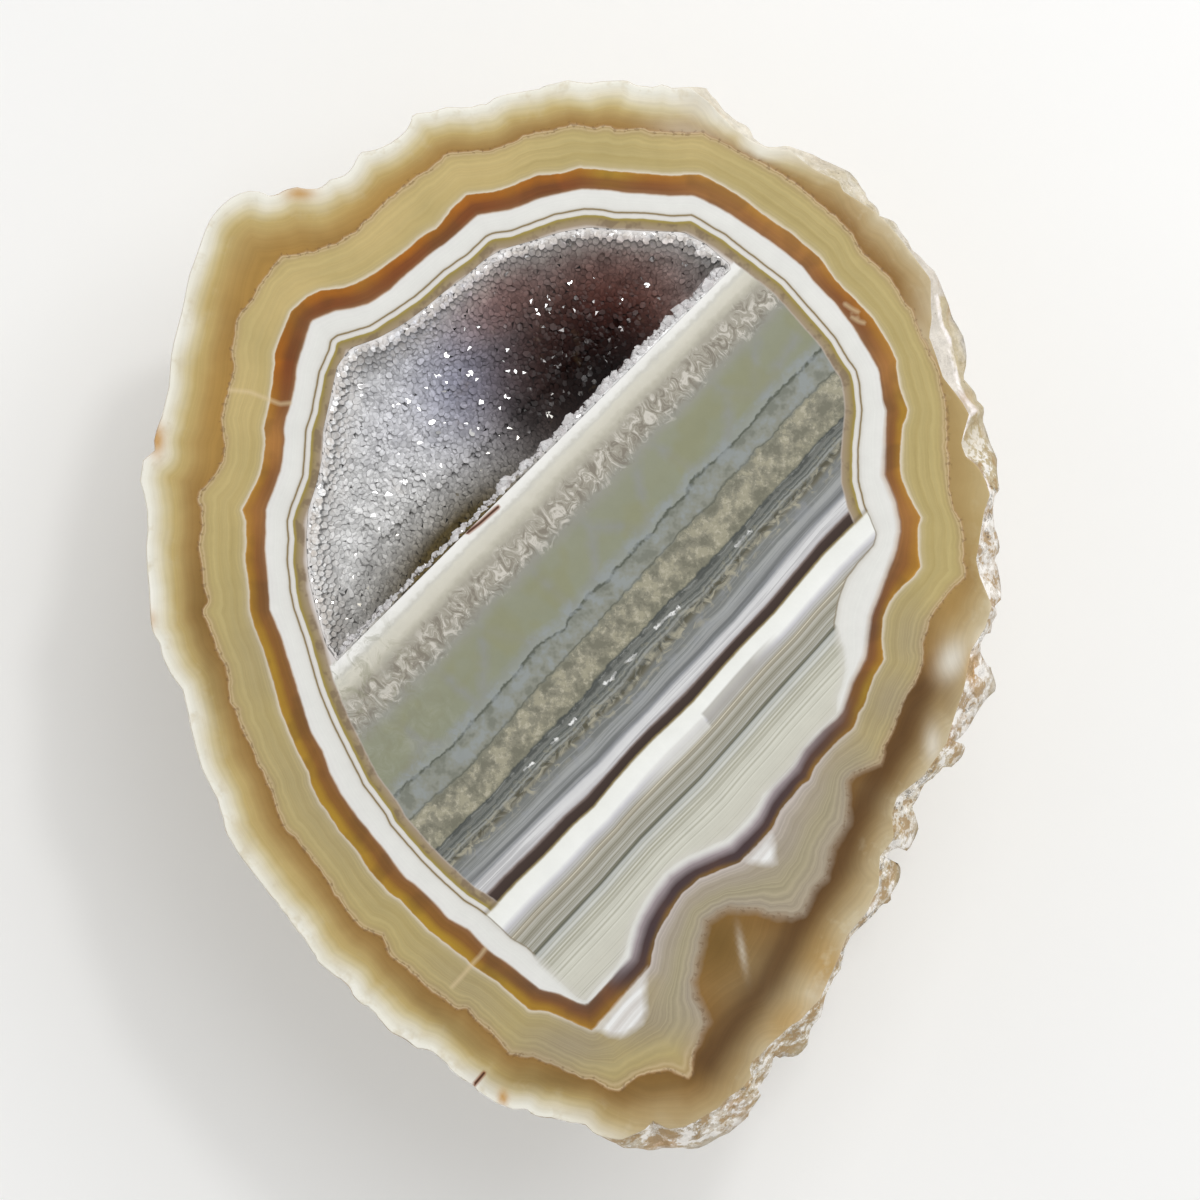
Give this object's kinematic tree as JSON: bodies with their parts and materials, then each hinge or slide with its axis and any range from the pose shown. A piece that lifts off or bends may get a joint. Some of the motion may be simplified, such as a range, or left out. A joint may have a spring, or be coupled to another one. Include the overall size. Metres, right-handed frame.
{
  "type": "polished agate nodule half",
  "caption": "Half of an agate nodule cut and polished flat, with ringed and layered bands, a crystal-lined hollow and a knobbly natural rind.",
  "frame": {"origin": "centre of the bounding box at the flat underside, on the surface that the nodule lies on", "axes": "+Z is the normal of the polished face, which looks up; +Y runs along the nodule's length, towards the broad end by the hollow; +X is across it, towards the chipped side"},
  "size_m": [0.0864, 0.1076, 0.04],
  "materials": {
    "agate": "polished face, rough rind",
    "druse": "small glinting crystal faces"
  },
  "bodies": {
    "root": {"agate_nodule": "agate", "druse_crust": "druse"}
  },
  "joints": []
}
